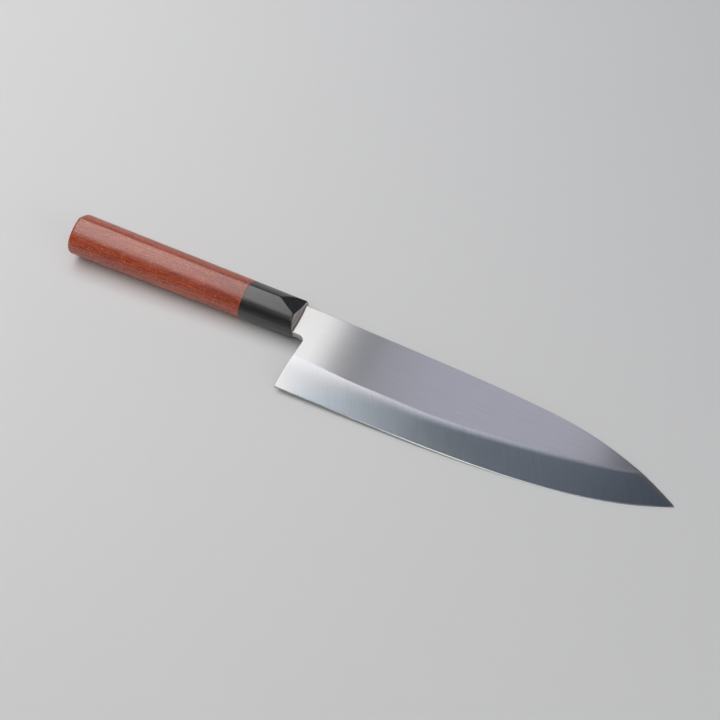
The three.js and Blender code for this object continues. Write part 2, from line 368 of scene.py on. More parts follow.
class BladeShape:
    """Heights and thicknesses of the blade at any place, worked out from its sizes."""

    RIM_ROWS = (0.0, 0.14, 0.42, 1.0, 1.4)
    BODY_ROWS = (-0.004, -0.008, -0.012, -0.0155)
    LOWER_ROWS = (-0.0235, -0.0255, -0.0275)
    FILLET_STEPS = 9
    BAND_STEPS = 10
    BEVEL_STEPS = 7
    LAND_ROWS = (1.15, 1.0, 0.5, 0.0)
    RIMS_ABOVE_BAND = 2
    FULL_WIDTH = 0.009

    def __init__(self, sizes):
        self.sizes = sizes
        self.lean_slope = sizes.heel_lean / (sizes.heel_height - sizes.neck_height)
        lean_angle = math.atan(self.lean_slope)
        self.lean_cosine = math.cos(lean_angle)
        self.fillet_y = -sizes.neck_height - sizes.neck_fillet
        self.fillet_x = self.leaning_heel(self.fillet_y) - sizes.neck_fillet / self.lean_cosine
        self.fillet_angles = spread(math.pi / 2, -lean_angle, self.FILLET_STEPS)
        self.fillet_end = self.fillet_y + sizes.neck_fillet * math.sin(self.fillet_angles[-1])
        self.rows = self.list_rows()

    def spine(self, x):
        """Height of the spine."""
        return height_on((SPINE_REAR, SPINE_FRONT), x)

    def edge(self, x):
        """Height of the edge."""
        return height_on((EDGE_BELLY,), x)

    def leaning_heel(self, height):
        """Place of the straight part of the heel."""
        return self.lean_slope * (height + self.sizes.heel_height)

    def narrowing(self, x):
        """1 along the blade, falling to nearly 0 at the tip."""
        return min(1.0, (self.spine(x) - self.edge(x)) / self.FULL_WIDTH)

    def softness(self, x):
        """Half width of the rounded bevel line, which is widest at the heel."""
        sizes = self.sizes
        width = lerp(sizes.soft_middle, sizes.soft_tip, smooth(x / BEVEL_LINE[3][0]))
        width = lerp(sizes.soft_heel, width, smooth(x / HEEL_FADE))
        return width * self.narrowing(x)

    def bevel(self, x):
        """Height of the bevel line; past the spine it runs straight on, above the steel."""
        end = BEVEL_LINE[3]
        if x <= end[0]:
            return height_on((BEVEL_LINE,), x)
        pull = BEVEL_LINE[2]
        return end[1] + (x - end[0]) * (end[1] - pull[1]) / (end[0] - pull[0])

    def band_row(self, x):
        """Height of the middle row of the rounded bevel line, kept under the spine."""
        rims = self.sizes.rim * self.narrowing(x) * self.RIMS_ABOVE_BAND
        return min(self.spine(x) - rims - self.softness(x), self.bevel(x))

    def flat_height(self, x):
        """Height of the flat above the back."""
        return self.sizes.thickness - self.sizes.distal_taper * x

    def list_rows(self):
        """Rows of the mesh from the spine to the edge, each as its zone and its share of that zone."""
        sizes = self.sizes
        rim_rows = [("rim", share) for share in self.RIM_ROWS]
        heights = list(self.BODY_ROWS)
        heights += [share * sizes.rim - sizes.neck_height for share in reversed(self.RIM_ROWS)]
        self.neck_row = len(rim_rows) + len(heights) - 1
        heights += [self.fillet_y + sizes.neck_fillet * math.sin(angle) for angle in self.fillet_angles[1:]]
        heights += self.LOWER_ROWS
        top = self.spine(0.0) - self.RIM_ROWS[-1] * sizes.rim
        bottom = self.band_row(0.0) + self.softness(0.0)
        flat_rows = [("flat", (height - top) / (bottom - top)) for height in heights]
        band_rows = [("band", share) for share in spread(-1, 1, self.BAND_STEPS)]
        bevel_rows = [("bevel", share) for share in spread(0.0, 1.0, self.BEVEL_STEPS)[1:-1]]
        land_rows = [("land", share) for share in self.LAND_ROWS]
        self.bevel_row = len(rim_rows) + len(flat_rows) + 1
        return rim_rows + flat_rows + band_rows + bevel_rows + land_rows

    def row_height(self, row, x):
        """Height of one row of the mesh."""
        zone, share = self.rows[row]
        narrowing = self.narrowing(x)
        rim = self.sizes.rim * narrowing
        land = self.sizes.land * narrowing
        if zone == "rim":
            return self.spine(x) - share * rim
        if zone == "land":
            return self.edge(x) + share * land
        bevel = self.band_row(x)
        soft = self.softness(x)
        if zone == "band":
            return bevel - share * soft
        if zone == "flat":
            return lerp(self.spine(x) - self.RIM_ROWS[-1] * rim, bevel + soft, share)
        return lerp(bevel - soft, self.edge(x) + self.LAND_ROWS[0] * land, share)

    def heel_place(self, height):
        """Place of the heel's outline at a height; at the neck it is where the fillet starts."""
        if height >= -self.sizes.neck_height:
            return self.fillet_x
        if height > self.fillet_end:
            reach = self.sizes.neck_fillet ** 2 - (height - self.fillet_y) ** 2
            return self.fillet_x + math.sqrt(max(0.0, reach))
        return self.leaning_heel(height)

    def grid_place(self, column_place, row):
        """Place of a point of the mesh; near the heel the columns follow its outline."""
        heel = self.heel_place(self.row_height(row, 0.0))
        x = column_place + heel * (1 - smooth(column_place / HEEL_BLEND))
        return x, self.row_height(row, x)

    def rim_gap(self, x, y):
        """Distance from the eased part of the outline: spine, neck, fillet and heel."""
        if x < self.fillet_x:
            below = y + self.sizes.neck_height
        elif y > self.fillet_end:
            below = math.hypot(x - self.fillet_x, y - self.fillet_y) - self.sizes.neck_fillet
        else:
            below = (x - self.leaning_heel(y)) * self.lean_cosine
        return max(0.0, min(below, self.spine(x) - y))

    def easing(self, x, y):
        """Drop of the surface where the outline is eased."""
        rim = self.sizes.rim * self.narrowing(x)
        gap = self.rim_gap(x, y)
        if gap >= rim:
            return 0.0
        return rim - math.sqrt(rim ** 2 - (rim - gap) ** 2)

    def top(self, x, y):
        """Height of the bevelled side: flat, rounded bevel line, bevel and small edge bevel."""
        sizes = self.sizes
        flat = self.flat_height(x)
        edge = self.edge(x)
        bevel = self.bevel(x)
        soft = self.softness(x)
        slope = (flat - min(flat, sizes.bevel_foot)) / (bevel - edge)
        land = sizes.land * self.narrowing(x)
        below = bevel - max(y, edge + land)
        height = flat - slope * max(0.0, below)
        if abs(below) < soft:
            height = flat - slope * (below + soft) ** 2 / (4 * soft)
        if y < edge + land:
            height = lerp(sizes.edge_thickness, height, (y - edge) / land)
        return height - self.easing(x, y)

    def back(self, x, y):
        """Height of the back, with its hollow."""
        spine = self.spine(x)
        edge = self.edge(x)
        width = min(1.0, (spine - edge) / self.sizes.heel_height)
        low = edge + HOLLOW_EDGE_RIM * width
        high = spine - HOLLOW_SPINE_RIM * width
        share = (y - low) / (high - low)
        across = smooth(share / HOLLOW_SLOPE_SHARE) * smooth((1 - share) / HOLLOW_SLOPE_SHARE)
        along = smooth((x - HOLLOW_START) / (HOLLOW_FULL - HOLLOW_START))
        return self.sizes.hollow_depth * width * across * along + self.easing(x, y)


def knife_to_shared():
    """Matrix that sets the knife down where the solids lie."""
    blade = BladeShape(bpy.context.scene.deba_blade)
    turn = Matrix.Rotation(REST_PITCH, 4, "Y") @ Matrix.Rotation(REST_ROLL, 4, "X")
    place = Vector((*RACK_POINT, blade.flat_height(RACK_POINT[0])))
    mount = Vector(frame["record"]["mounts"][0]["pos_m"])
    return Matrix.Translation(mount - turn @ place) @ turn


def make_piece(name, mesh, materials, sharp_angle, node):
    """Object of a mesh in the knife's frame, set down in the shared frame, in place of a solid."""
    mesh.transform(knife_to_shared())
    for material in materials:
        mesh.materials.append(material)
    mesh.shade_smooth()
    mesh.set_sharp_from_angle(angle=sharp_angle)
    mesh.update()
    piece = bpy.data.objects.new(name, mesh)
    bpy.context.scene.collection.objects.link(piece)
    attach(piece, "root")
    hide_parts(node)


def blade_columns(shape):
    """Places of the mesh columns in front of the heel, for a heel at 0."""
    columns = list(HEEL_COLUMNS)
    stretches = ((BEVEL_LINE[3][0], COLUMN_STEP), (shape.sizes.length - TIP_BLUNT, TIP_COLUMN_STEP))
    for end, step in stretches:
        while columns[-1] < end - step:
            columns.append(columns[-1] + step)
        columns.append(end)
    return columns


def tang_column(shape, x, height):
    """Top and back points of a column of the tang, which continues the neck's rows."""
    middle, axis_height = bpy.context.scene.deba_handle.axis
    tops = []
    for row in range(shape.neck_row + 1):
        share = shape.row_height(row, NECK_END) / -shape.sizes.neck_height
        tops.append(Vector((x, middle + (0.5 - share) * height, axis_height + TANG_THICKNESS / 2)))
    backs = [Vector((*point.xy, 2 * axis_height - point.z)) for point in tops]
    return tops, backs


def steel_column(shape, places):
    """Top and back points of a column of the neck or the blade."""
    tops = [Vector((x, y, shape.top(x, y))) for x, y in places]
    backs = [Vector((x, y, shape.back(x, y))) for x, y in places]
    return tops, backs


def blade_grid(shape):
    """Top and back points by column and row, and the first column in front of the neck.

    A column of the tang or the neck has only the neck's rows.
    """
    columns = [
        tang_column(shape, TANG_END, TANG_END_HEIGHT),
        tang_column(shape, NECK_END, TANG_HEIGHT),
    ]
    for x in spread(NECK_END, shape.fillet_x, NECK_COLUMNS)[:-1]:
        places = [(x, shape.row_height(row, x)) for row in range(shape.neck_row + 1)]
        columns.append(steel_column(shape, places))
    first_column = len(columns)
    for place in blade_columns(shape):
        places = [shape.grid_place(place, row) for row in range(len(shape.rows))]
        columns.append(steel_column(shape, places))
    tops, backs = zip(*columns)
    return tops, backs, first_column


def blade_rim(shape, first_column, column_count):
    """Outline of the grid as (column, row), anticlockwise seen from the bevelled side."""
    last_row = len(shape.rows) - 1
    last_column = column_count - 1
    rim = [(0, row) for row in range(shape.neck_row)]
    rim += [(column, shape.neck_row) for column in range(first_column)]
    rim += [(first_column, row) for row in range(shape.neck_row, last_row)]
    rim += [(column, last_row) for column in range(first_column, last_column)]
    rim += [(last_column, row) for row in range(last_row, 0, -1)]
    rim += [(column, 0) for column in range(last_column, 0, -1)]
    return rim


def number_points(columns, points):
    """Adds the points of a grid to a list, and gives their numbers by (column, row)."""
    numbers = {}
    for column, column_points in enumerate(columns):
        for row, point in enumerate(column_points):
            numbers[column, row] = len(points)
            points.append(point)
    return numbers


def map_brushing(mesh, grinds):
    """Material and map of each face, with U along the brushing of the flat, the bevel or a wall."""
    brushing = mesh.uv_layers.new(name=BRUSHING_MAP)
    slant = Matrix.Rotation(BEVEL_SCRATCH_ANGLE, 2)
    for polygon, grind in zip(mesh.polygons, grinds):
        polygon.material_index = 1 if grind == "bevel" else 0
        for loop in polygon.loop_indices:
            point = mesh.vertices[mesh.loops[loop].vertex_index].co
            places = {"flat": point.xy, "bevel": point.xy @ slant, "wall": (point.x - point.y, point.z)}
            brushing.data[loop].uv = places[grind]


def measure_bevel(mesh, shape, top_numbers):
    """Depth of each point of the bevel below the bevel line, as an attribute."""
    below_line = mesh.attributes.new(BELOW_LINE, "FLOAT", "POINT")
    for (_, row), number in top_numbers.items():
        if row > shape.bevel_row:
            point = mesh.vertices[number].co
            below_line.data[number].value = shape.row_height(shape.bevel_row, point.x) - point.y


def blade_mesh(shape):
    """Mesh of the blade, neck and tang."""
    tops, backs, first_column = blade_grid(shape)
    points = []
    top_numbers = number_points(tops, points)
    back_numbers = number_points(backs, points)
    faces = []
    grinds = []
    for column in range(len(tops) - 1):
        rows = min(len(tops[column]), len(tops[column + 1]))
        for row in range(rows - 1):
            corners = ((column, row), (column, row + 1), (column + 1, row + 1), (column + 1, row))
            faces.append([top_numbers[corner] for corner in corners])
            grinds.append("bevel" if row >= shape.bevel_row else "flat")
            faces.append([back_numbers[corner] for corner in reversed(corners)])
            grinds.append("flat")
    rim = blade_rim(shape, first_column, len(tops))
    for here, there in zip(rim, rim[1:] + rim[:1]):
        faces.append((top_numbers[here], back_numbers[here], back_numbers[there], top_numbers[there]))
        grinds.append("wall")
    mesh = bpy.data.meshes.new("blade")
    mesh.from_pydata(points, [], faces)
    map_brushing(mesh, grinds)
    measure_bevel(mesh, shape, top_numbers)
    return mesh


# Shape of the handle

class HandleShape:
    """Section of the handle and its places along the axis, worked out from the sizes."""

    FACET_STEPS = 14
    RIDGE_STEPS = 8
    FLANK_STEPS = 26
    UNDER_STEPS = 34

    def __init__(self, sizes):
        self.sizes = sizes
        scale = Vector((sizes.half_width, sizes.ridge_height))
        facet_pulls = [Vector(pull) * scale for pull in FACET_PULLS]
        flank_pulls = [Vector(pull) * scale for pull in FLANK_PULLS]
        self.ridge = Vector((sizes.ridge_offset, sizes.ridge_height))
        self.facet = (Vector((sizes.half_width, 0)), *facet_pulls, self.ridge)
        self.flank = (self.ridge, *flank_pulls, Vector((-sizes.half_width, 0)))

    def under(self, share):
        """Point of the round underside, from the flank back to the facet."""
        angle = math.pi * (1 + share)
        return Vector((self.sizes.half_width * math.cos(angle), self.sizes.under_depth * math.sin(angle)))

    def section(self, place, facet_end, flank_start, ridge):
        """Placed points of a section, anticlockwise from the spine side: facet, ridge, flank, underside."""
        points = [place(cubic_point(self.facet, t)) for t in spread(0.0, facet_end, self.FACET_STEPS)]
        start = points[-1]
        end = place(cubic_point(self.flank, flank_start))
        points += [bend(start, ridge, end, t) for t in spread(0.0, 1.0, self.RIDGE_STEPS)[1:-1]]
        flank_shares = spread(flank_start, 1, self.FLANK_STEPS)[:-1]
        points += [place(cubic_point(self.flank, t)) for t in flank_shares]
        points += [place(self.under(share)) for share in spread(0.0, 1.0, self.UNDER_STEPS)[:-1]]
        return points

    def outline(self):
        """Section at the butt, in its own plane."""
        trim = self.sizes.ridge_rounding
        return self.section(Vector, 1 - trim, trim, self.ridge)

    def size_at(self, x):
        """Middle of the section towards the spine, and its size, at a place along the handle."""
        sizes = self.sizes
        along = (x - sizes.butt) / (sizes.mouth - sizes.butt)
        return sizes.axis[0] - sizes.butt_drop * (1 - along), 1 - sizes.taper * along

    def place(self, x, point):
        """Point of a section in the knife's frame."""
        middle, size = self.size_at(x)
        return Vector((x, middle + point.x * size, self.sizes.axis[1] + point.y * size))

    def on_mouth(self, y, z):
        """Point of the domed mouth at a place across it."""
        sizes = self.sizes
        middle, size = self.size_at(sizes.mouth)
        across = (y - middle) / (sizes.half_width * size)
        through = (z - sizes.axis[1]) / (sizes.ridge_height * size)
        dome = MOUTH_DOME_ACROSS * across ** 2 + MOUTH_DOME_THROUGH * through ** 2 + MOUTH_SKEW * across
        return Vector((sizes.mouth - dome, y, z))

    def on_ferrule(self, share, point):
        """Point of the ferrule's side, a share of the way from the joint to the mouth's rim."""
        rear = self.place(self.sizes.joint, point)
        front = self.place(self.sizes.mouth, point)
        return rear.lerp(self.on_mouth(front.y, front.z), share)


class RidgeCut:
    """Plane that cuts the ridge away at the mouth."""

    def __init__(self, shape):
        self.start = shape.place(shape.sizes.mouth - RIDGE_CUT_LENGTH, shape.ridge)
        turn = Matrix.Rotation(RIDGE_CUT_PITCH, 3, "Y") @ Matrix.Rotation(RIDGE_CUT_ROLL, 3, "X")
        self.normal = turn @ Vector((0, 0, 1))

    def above(self, point):
        """Height of a point above the plane."""
        return (point - self.start).dot(self.normal)

    def limit(self, place, curve, kept, lost):
        """Place on a section's curve where the plane crosses it, between a kept and a lost end."""
        for _ in range(CURVE_HALVINGS):
            middle = (kept + lost) / 2
            if self.above(place(cubic_point(curve, middle))) > 0:
                lost = middle
            else:
                kept = middle
        return kept

    def dropped(self, point):
        """The point, or where it is above the plane, the point of the plane under it."""
        height = max(0.0, self.above(point))
        return point - Vector((0, 0, height / self.normal.z))


def ferrule_ring(shape, cut, share):
    """Ring of the ferrule's side, with its ridge eased, or cut flat near the mouth."""
    trim = shape.sizes.ridge_rounding
    place = functools.partial(shape.on_ferrule, share)
    facet_end = min(1 - trim, cut.limit(place, shape.facet, 0.0, 1.0))
    flank_start = max(trim, cut.limit(place, shape.flank, 1.0, 0.0))
    return shape.section(place, facet_end, flank_start, cut.dropped(place(shape.ridge)))


def slot_ring(shape, blade, ring):
    """Ring of the neck's slot in the mouth, with a point for each point of another ring."""
    low = Vector((-blade.sizes.neck_height - SLOT_GAP, -SLOT_GAP))
    high = Vector((SLOT_GAP, blade.flat_height(NECK_END) + SLOT_GAP))
    middle = (low + high) / 2
    half = (high - low) / 2
    directions = [point.yz - middle for point in ring]
    points = []
    for direction in directions:
        reach = min(half.x / max(abs(direction.x), TINY), half.y / max(abs(direction.y), TINY))
        points.append(middle + direction * reach)
    for corner in ((1, 1), (-1, 1), (-1, -1), (1, -1)):
        exact = Vector(corner) * half
        nearest = min(range(len(ring)), key=lambda i: abs(directions[i].angle(exact)))
        points[nearest] = middle + exact
    return [shape.on_mouth(*point) for point in points]


def socket_ring(shape, ring, x):
    """Ring of the round socket, with a point for each point of another ring."""
    middle = Vector(shape.sizes.axis)
    return [Vector((x, *(middle + (point.yz - middle).normalized() * SOCKET_RADIUS))) for point in ring]


def inside_rim(shape, corner, slot):
    """Ring on the mouth, one rim radius in from its corner towards the slot."""
    ring = []
    for point, goal in zip(corner, slot):
        inward = goal - point
        step = point + inward * min(1.0, shape.sizes.rim / inward.length)
        ring.append(shape.on_mouth(*step.yz))
    return ring


def ferrule_rings(shape, blade):
    """Rings of the ferrule from its joint round to its socket, and where its mouth starts and ends."""
    sizes = shape.sizes
    cut = RidgeCut(shape)
    length = sizes.mouth - sizes.joint
    joint = ferrule_ring(shape, cut, 0.0)
    joint_middle = Vector((sizes.joint, *sizes.axis))
    rings = [[point.lerp(joint_middle, sizes.seam / sizes.half_width) for point in joint]]
    for share in spread(sizes.seam / length, 1 - sizes.rim / length, FERRULE_RINGS):
        rings.append(ferrule_ring(shape, cut, share))
    side = rings[-1]
    corner = [shape.on_mouth(*point.yz) for point in ferrule_ring(shape, cut, 1.0)]
    slot = slot_ring(shape, blade, corner)
    inside = inside_rim(shape, corner, slot)
    for t in spread(0.0, 1.0, FERRULE_RIM_RINGS)[1:-1]:
        rings.append([bend(a, b, c, t) for a, b, c in zip(side, corner, inside)])
    mouth_start = len(rings)
    for t in spread(0.0, 1.0, MOUTH_RINGS)[:-1]:
        rings.append([shape.on_mouth(*a.lerp(b, t).yz) for a, b in zip(inside, slot)])
    mouth_end = len(rings)
    rings.append(slot)
    rings.append([Vector((SLOT_END, *point.yz)) for point in slot])
    rings.append(socket_ring(shape, joint, SLOT_END - sizes.rim))
    rings.append(socket_ring(shape, joint, sizes.joint))
    return rings, mouth_start, mouth_end


def ferrule_mesh(shape, blade):
    """Mesh of the ferrule: side, eased front rim, domed mouth with the neck's slot, and the socket."""
    rings, mouth_start, mouth_end = ferrule_rings(shape, blade)
    count = len(rings[0])
    faces = []
    materials = []
    for ring in range(len(rings)):
        start = ring * count
        after = (ring + 1) % len(rings) * count
        for i in range(count):
            j = (i + 1) % count
            faces.append((start + i, start + j, after + j, after + i))
            materials.append(1 if mouth_start <= ring < mouth_end else 0)
    mesh = bpy.data.meshes.new("ferrule")
    mesh.from_pydata([point for ring in rings for point in ring], [], faces)
    mesh.polygons.foreach_set("material_index", materials)
    return mesh


# Geometry nodes

class Tree:
    """Helper that adds nodes to a tree and links them."""

    def __init__(self, tree):
        self.nodes = tree.nodes
        self.links = tree.links

    def add(self, kind, inputs=None, **settings):
        """New node with its settings, and with values or links on its inputs."""
        node = self.nodes.new(kind)
        for name, value in settings.items():
            setattr(node, name, value)
        for name, value in (inputs or {}).items():
            self.put(node.inputs[name], value)
        return node

    def put(self, socket, value):
        """Sets a socket to a value, or links it to another socket."""
        if isinstance(value, bpy.types.NodeSocket):
            self.links.new(value, socket)
        else:
            socket.default_value = value

    def math(self, operation, first, second=0.0):
        """Result of a sum, product or the like."""
        node = self.add("ShaderNodeMath", operation=operation)
        self.put(node.inputs[0], first)
        self.put(node.inputs[1], second)
        return node.outputs[0]

    def vector(self, **parts):
        """Vector with some of its parts given."""
        return self.add("ShaderNodeCombineXYZ", parts).outputs["Vector"]

    def part(self, vector, axis):
        """One part of a vector."""
        return self.add("ShaderNodeSeparateXYZ", {"Vector": vector}).outputs[axis]


def sweep_stations(tree, given):
    """Path of the sweep and the size of the section at each of its stations.

    The stations are close together round the butt's rim, then even, with one more at the seam.
    """
    index = tree.add("GeometryNodeInputIndex").outputs["Index"]
    rounding = given["Butt Rounding"]
    turn = tree.math("MINIMUM", tree.math("DIVIDE", index, given["Butt Rings"]), 1.0)
    turn = tree.math("MULTIPLY", turn, math.pi / 2)
    butt = tree.math("MULTIPLY", rounding, tree.math("SUBTRACT", 1.0, tree.math("COSINE", turn)))
    butt_inset = tree.math("MULTIPLY", rounding, tree.math("SUBTRACT", 1.0, tree.math("SINE", turn)))
    ring = tree.math("MAXIMUM", tree.math("SUBTRACT", index, given["Butt Rings"]), 0.0)
    length = tree.math("SUBTRACT", tree.math("SUBTRACT", given["Length"], rounding), given["Seam"])
    body = tree.math("MULTIPLY", tree.math("DIVIDE", ring, given["Body Rings"]), length)
    along = tree.math("MINIMUM", tree.math("ADD", butt, body), given["Length"])
    at_seam = tree.math("GREATER_THAN", ring, given["Body Rings"])
    inset = tree.math("ADD", butt_inset, tree.math("MULTIPLY", at_seam, given["Seam"]))
    count = tree.math("ADD", tree.math("ADD", given["Butt Rings"], given["Body Rings"]), 2.0)

    line = tree.add("GeometryNodeCurvePrimitiveLine", {"End": (1, 0, 0)}).outputs["Curve"]
    stations = tree.add("GeometryNodeResampleCurve", {"Curve": line, "Count": count}, mode="COUNT")
    path = tree.add("GeometryNodeSetPosition", {
        "Geometry": stations.outputs["Curve"], "Position": tree.vector(X=along)})
    path = tree.add("GeometryNodeSetCurveTilt", {"Curve": path.outputs["Geometry"], "Tilt": math.pi})

    share = tree.math("DIVIDE", along, given["Full Length"])
    tapered = tree.math("SUBTRACT", 1.0, tree.math("MULTIPLY", given["Taper"], share))
    inset_share = tree.math("DIVIDE", inset, given["Half Width"])
    size = tree.math("MULTIPLY", tapered, tree.math("SUBTRACT", 1.0, inset_share))
    return path.outputs["Curve"], size


def sweep_tree():
    """Tree that sweeps a section along a tapering handle, rounds its butt and bores its front end."""
    group = bpy.data.node_groups.new("Handle sweep", "GeometryNodeTree")
    group.interface.new_socket("Section", in_out="INPUT", socket_type="NodeSocketGeometry")
    for name in ("Length", "Full Length", "Half Width", "Taper", "Butt Rounding", "Butt Drop", "Seam",
                 "Socket Radius", "Socket Depth"):
        group.interface.new_socket(name, in_out="INPUT", socket_type="NodeSocketFloat")
    for name in ("Butt Rings", "Body Rings", "Bore Sides"):
        group.interface.new_socket(name, in_out="INPUT", socket_type="NodeSocketInt")
    group.interface.new_socket("Wood", in_out="INPUT", socket_type="NodeSocketMaterial")
    group.interface.new_socket("Grip", in_out="OUTPUT", socket_type="NodeSocketGeometry")
    tree = Tree(group)
    given = tree.add("NodeGroupInput").outputs
    path, size = sweep_stations(tree, given)
    swept = tree.add("GeometryNodeCurveToMesh", {
        "Curve": path, "Profile Curve": given["Section"], "Scale": size, "Fill Caps": True})

    # The axis drops a little towards the butt
    along = tree.part(tree.add("GeometryNodeInputPosition").outputs["Position"], "X")
    rest = tree.math("SUBTRACT", 1.0, tree.math("DIVIDE", along, given["Full Length"]))
    drop = tree.math("MULTIPLY", tree.math("MULTIPLY", given["Butt Drop"], rest), -1.0)
    body = tree.add("GeometryNodeSetPosition", {
        "Geometry": swept.outputs["Mesh"], "Offset": tree.vector(Y=drop)})

    # Socket for the dowel
    bore = tree.add("GeometryNodeMeshCylinder", {
        "Vertices": given["Bore Sides"],
        "Radius": given["Socket Radius"],
        "Depth": tree.math("MULTIPLY", given["Socket Depth"], 2.0),
    })
    bore = tree.add("GeometryNodeTransform", {
        "Geometry": bore.outputs["Mesh"],
        "Translation": tree.vector(X=given["Length"]),
        "Rotation": (0, math.pi / 2, 0),
    })
    bored = tree.add("GeometryNodeMeshBoolean", {
        "Mesh 1": body.outputs["Geometry"], "Mesh 2": bore.outputs["Geometry"]},
        operation="DIFFERENCE", solver="EXACT")
    real = tree.add("GeometryNodeRealizeInstances", {"Geometry": bored.outputs["Mesh"]}).outputs["Geometry"]
    wood = tree.add("GeometryNodeSetMaterial", {"Geometry": real, "Material": given["Wood"]})
    tree.add("NodeGroupOutput", {"Grip": wood.outputs["Geometry"]})
    return group


def section_curve(shape):
    """Closed curve of the handle's section at the butt."""
    curve = bpy.data.curves.new("handle_section", "CURVE")
    curve.dimensions = "3D"
    points = shape.outline()
    spline = curve.splines.new("POLY")
    spline.points.add(len(points) - 1)
    for target, point in zip(spline.points, points):
        target.co = (point.x, point.y, 0, 1)
    spline.use_cyclic_u = True
    return curve


def evaluated_mesh(curve, group, values):
    """Plain mesh that a tree of geometry nodes makes from a curve."""
    maker = bpy.data.objects.new("handle_section", curve)
    bpy.context.scene.collection.objects.link(maker)
    modifier = maker.modifiers.new("sweep", "NODES")
    modifier.node_group = group
    for item in group.interface.items_tree:
        if item.name in values:
            modifier[item.identifier] = values[item.name]
    bpy.context.view_layer.update()
    graph = bpy.context.evaluated_depsgraph_get()
    mesh = bpy.data.meshes.new_from_object(maker.evaluated_get(graph), depsgraph=graph)
    maker.modifiers.remove(modifier)
    bpy.data.objects.remove(maker)
    return mesh


# Materials

def new_material(name):
    """New material with an empty tree, as (material, tree)."""
    material = bpy.data.materials.new(name)
    material.use_nodes = True
    material.node_tree.nodes.clear()
    return material, Tree(material.node_tree)


def add_shader(tree, inputs):
    """Ends a material's tree in a shader with these inputs."""
    shader = tree.add("ShaderNodeBsdfPrincipled", inputs)
    tree.add("ShaderNodeOutputMaterial", {"Surface": shader.outputs["BSDF"]})


def knife_coordinates(tree):
    """Object coordinates turned back into the knife's own frame, in metres."""
    place = tree.add("ShaderNodeTexCoord").outputs["Object"]
    back = knife_to_shared().inverted()
    return tree.add("ShaderNodeMapping", {
        "Vector": place, "Rotation": back.to_euler(), "Location": back.to_translation()}).outputs["Vector"]


def noise(tree, vector, scale, detail=2.0, roughness=0.5):
    """Noise with a scale for each axis of a vector."""
    scaled = tree.add("ShaderNodeMapping", {"Vector": vector, "Scale": scale}).outputs["Vector"]
    node = tree.add("ShaderNodeTexNoise", {
        "Vector": scaled, "Scale": 1.0, "Detail": detail, "Roughness": roughness})
    return node.outputs["Fac"]


def map_range(tree, value, given, wanted=(0.0, 1.0), blend="LINEAR"):
    """Value moved from a given range to a wanted one, and clamped there."""
    low, high = given
    to_low, to_high = wanted
    node = tree.add("ShaderNodeMapRange", {
        "Value": value, "From Min": low, "From Max": high, "To Min": to_low, "To Max": to_high},
        interpolation_type=blend)
    return node.outputs["Result"]


def mix_colours(tree, share, first, second):
    """Colour between two others."""
    node = tree.add("ShaderNodeMix", {"Factor": share}, data_type="RGBA")
    colours = [socket for socket in node.inputs if socket.type == "RGBA"]
    for socket, colour in zip(colours, (first, second)):
        tree.put(socket, colour if isinstance(colour, bpy.types.NodeSocket) else (*colour, 1.0))
    return next(socket for socket in node.outputs if socket.type == "RGBA")


def toned(colour, gain):
    """Colour made darker or lighter."""
    return [value * gain for value in colour]


def bump(tree, height, strength, depth):
    """Normal that follows a fine relief."""
    return tree.add("ShaderNodeBump", {
        "Height": height, "Strength": strength, "Distance": depth}).outputs["Normal"]


def shared_group(tree, vector, name, outputs, fill):
    """Outputs of a group of shader nodes on a vector; the group is built once, for all its materials."""
    if name not in bpy.data.node_groups:
        group = bpy.data.node_groups.new(name, "ShaderNodeTree")
        group.interface.new_socket("Vector", in_out="INPUT", socket_type="NodeSocketVector")
        for output in outputs:
            group.interface.new_socket(output, in_out="OUTPUT", socket_type="NodeSocketFloat")
        inner = Tree(group)
        inner.add("NodeGroupOutput", fill(inner, inner.add("NodeGroupInput").outputs["Vector"]))
    return tree.add("ShaderNodeGroup", {"Vector": vector}, node_tree=bpy.data.node_groups[name]).outputs


def fill_streaks(tree, vector):
    """Fine and broad streaks of ground steel along the first axis of a vector."""
    fine = noise(tree, vector, FINE_STREAKS, detail=2.0, roughness=0.6)
    broad = noise(tree, vector, BROAD_STREAKS, detail=1.0, roughness=0.6)
    fine_part = tree.math("MULTIPLY", fine, FINE_SHARE)
    broad_part = tree.math("MULTIPLY", broad, 1.0 - FINE_SHARE)
    return {"Streak": tree.math("ADD", fine_part, broad_part), "Height": fine}


def brushed_streaks(tree, vector):
    """Group that both steels share."""
    return shared_group(tree, vector, "Brushed streaks", ("Streak", "Height"), fill_streaks)


def fill_fibres(tree, vector):
    """Lengthwise fibres, short open pores and broad figure of a fine hardwood."""
    pore = noise(tree, vector, PORE_SCALE, detail=1.0, roughness=0.5)
    return {
        "Fibre": noise(tree, vector, FIBRE_SCALE, detail=3.0, roughness=0.6),
        "Pore": map_range(tree, pore, PORE_EDGE),
        "Figure": noise(tree, vector, FIGURE_SCALE, detail=3.0, roughness=0.55),
    }


def wood_fibres(tree):
    """Group that all the woods share."""
    outputs = ("Fibre", "Pore", "Figure")
    return shared_group(tree, knife_coordinates(tree), "Wood fibres", outputs, fill_fibres)


def past_neck(tree, along):
    """0 on the neck and 1 past it."""
    return map_range(tree, along, NECK_TINT)


def bevel_tint_and_painted_shade(tree, along):
    """0 along the bevel line and at the heel, and 1 past a bow that closes on the line towards the tip.
    This is a painted light mask: inside the bow the bevel keeps the flat's lighter colour where it catches
    the same lamp, and past it takes a darker, bluer tint that is partly its ground finish and partly
    painted reflection.
    """
    below = tree.add("ShaderNodeAttribute", attribute_name=BELOW_LINE).outputs["Fac"]
    return map_range(tree, tree.math("MULTIPLY", along, below), (0.0, HEEL_BOW))


